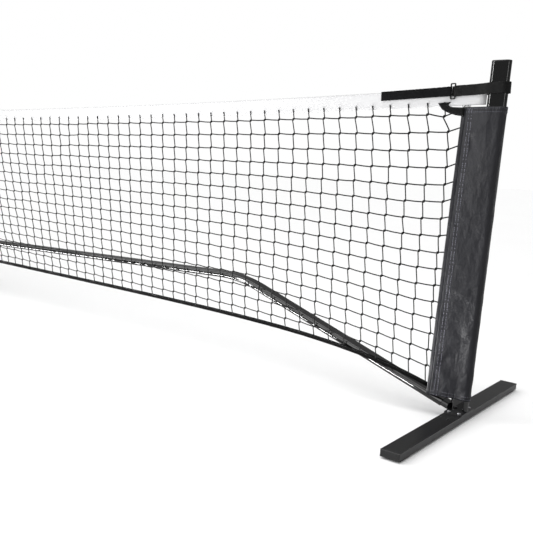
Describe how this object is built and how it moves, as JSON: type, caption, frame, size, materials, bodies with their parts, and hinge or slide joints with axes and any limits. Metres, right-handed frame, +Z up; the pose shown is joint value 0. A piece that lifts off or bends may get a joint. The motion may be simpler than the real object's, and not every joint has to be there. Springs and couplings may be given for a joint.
{
  "type": "portable pickleball net",
  "caption": "Free-standing court net with oval posts on long feet, an arched bottom rail in slip-joined sections, post sleeves and hook-and-loop top straps.",
  "frame": {"origin": "on the floor, midway between the two posts, at the centre of the base box", "axes": "+X along the net, +Y across it towards the back, +Z up"},
  "size_m": [6.7644, 0.834, 0.981],
  "materials": {
    "foot_paint": "satin black powder coat",
    "gloss_paint": "gloss black powder coat",
    "satin_paint": "satin black",
    "cap_plastic": "moulded, fine texture",
    "pad_rubber": "matt",
    "zinc_steel": "zinc plated",
    "spring_steel": "blued spring strip",
    "sleeve_fabric": "coated woven nylon",
    "tab_webbing": "heavy woven nylon",
    "strap_webbing": "ribbed webbing",
    "hook_and_loop": "looped pile",
    "ring_wire": "black coated wire",
    "headband_fabric": "white coated tape",
    "net_cord": "braided black cord",
    "bottom_tape": "black binding tape"
  },
  "bodies": {
    "frame": {"foot_beam_left": "foot_paint", "base_plate_left": "foot_paint", "end_rail_left": "gloss_paint", "middle_rail_left": "gloss_paint", "inner_rail_left": "gloss_paint", "post_stub_left": "satin_paint", "rail_stub_left": "satin_paint", "outer_spigot_left": "satin_paint", "inner_spigot_left": "satin_paint", "outer_button_spring_left": "spring_steel", "inner_button_spring_left": "spring_steel", "socket_button_spring_left": "spring_steel", "foot_beam_right": "foot_paint", "base_plate_right": "foot_paint", "end_rail_right": "gloss_paint", "middle_rail_right": "gloss_paint", "inner_rail_right": "gloss_paint", "post_stub_right": "satin_paint", "rail_stub_right": "satin_paint", "outer_spigot_right": "satin_paint", "inner_spigot_right": "satin_paint", "outer_button_spring_right": "spring_steel", "inner_button_spring_right": "spring_steel", "socket_button_spring_right": "spring_steel", "centre_foot_beam": "foot_paint", "centre_leg": "gloss_paint", "centre_socket": "satin_paint", "foot_end_caps": "cap_plastic", "foot_pads": "pad_rubber", "base_bolts": "zinc_steel", "base_nuts": "zinc_steel"},
    "net": {"net_mesh": "net_cord", "headband": "headband_fabric", "tension_tape": "strap_webbing", "bottom_band": "bottom_tape", "sleeve_left": "sleeve_fabric", "sleeve_binding_left": "sleeve_fabric", "corner_tab_left": "tab_webbing", "strap_webbing_left": "strap_webbing", "strap_ring_left": "ring_wire", "sleeve_right": "sleeve_fabric", "sleeve_binding_right": "sleeve_fabric", "corner_tab_right": "tab_webbing", "strap_webbing_right": "strap_webbing", "strap_ring_right": "ring_wire"},
    "post_left": {"post_left": "gloss_paint", "post_cap_left": "cap_plastic"},
    "strap_tail_left": {"strap_tail_left": "hook_and_loop"},
    "outer_button_left": {"outer_button_left": "zinc_steel"},
    "inner_button_left": {"inner_button_left": "zinc_steel"},
    "socket_button_left": {"socket_button_left": "zinc_steel"},
    "post_right": {"post_right": "gloss_paint", "post_cap_right": "cap_plastic"},
    "strap_tail_right": {"strap_tail_right": "hook_and_loop"},
    "outer_button_right": {"outer_button_right": "zinc_steel"},
    "inner_button_right": {"inner_button_right": "zinc_steel"},
    "socket_button_right": {"socket_button_right": "zinc_steel"}
  },
  "joints": [
    {"name": "net_lift", "type": "slide", "parent": "frame", "child": "net", "axis": [0, 0, 1], "range_m": [0, 0.95]},
    {"name": "post_left_lift", "type": "slide", "parent": "frame", "child": "post_left", "axis": [0, 0, 1], "range_m": [0, 0.13]},
    {"name": "outer_button_left_press", "type": "slide", "parent": "frame", "child": "outer_button_left", "axis": [0.0314, 0, 0.9995], "range_m": [0, 0.005], "stiffness_N_per_m": 300, "springref_m": -0.004, "deforming": ["outer_button_spring_left"]},
    {"name": "inner_button_left_press", "type": "slide", "parent": "frame", "child": "inner_button_left", "axis": [0.0314, 0, 0.9995], "range_m": [0, 0.005], "stiffness_N_per_m": 300, "springref_m": -0.004, "deforming": ["inner_button_spring_left"]},
    {"name": "socket_button_left_press", "type": "slide", "parent": "frame", "child": "socket_button_left", "axis": [0.0314, 0, 0.9995], "range_m": [0, 0.005], "stiffness_N_per_m": 300, "springref_m": -0.004, "deforming": ["socket_button_spring_left"]},
    {"name": "strap_tail_left_peel", "type": "hinge", "parent": "net", "child": "strap_tail_left", "pos_m": [-3.22401, -0.005, 0.90672], "axis": [-0.0471, 0, -0.9989], "range_deg": [0, 145]},
    {"name": "post_right_lift", "type": "slide", "parent": "frame", "child": "post_right", "axis": [0, 0, 1], "range_m": [0, 0.13]},
    {"name": "outer_button_right_press", "type": "slide", "parent": "frame", "child": "outer_button_right", "axis": [-0.0314, 0, 0.9995], "range_m": [0, 0.005], "stiffness_N_per_m": 300, "springref_m": -0.004, "deforming": ["outer_button_spring_right"]},
    {"name": "inner_button_right_press", "type": "slide", "parent": "frame", "child": "inner_button_right", "axis": [-0.0314, 0, 0.9995], "range_m": [0, 0.005], "stiffness_N_per_m": 300, "springref_m": -0.004, "deforming": ["inner_button_spring_right"]},
    {"name": "socket_button_right_press", "type": "slide", "parent": "frame", "child": "socket_button_right", "axis": [-0.0314, 0, 0.9995], "range_m": [0, 0.005], "stiffness_N_per_m": 300, "springref_m": -0.004, "deforming": ["socket_button_spring_right"]},
    {"name": "strap_tail_right_peel", "type": "hinge", "parent": "net", "child": "strap_tail_right", "pos_m": [3.22401, -0.005, 0.90672], "axis": [-0.0471, 0, 0.9989], "range_deg": [0, 145]}
  ]
}
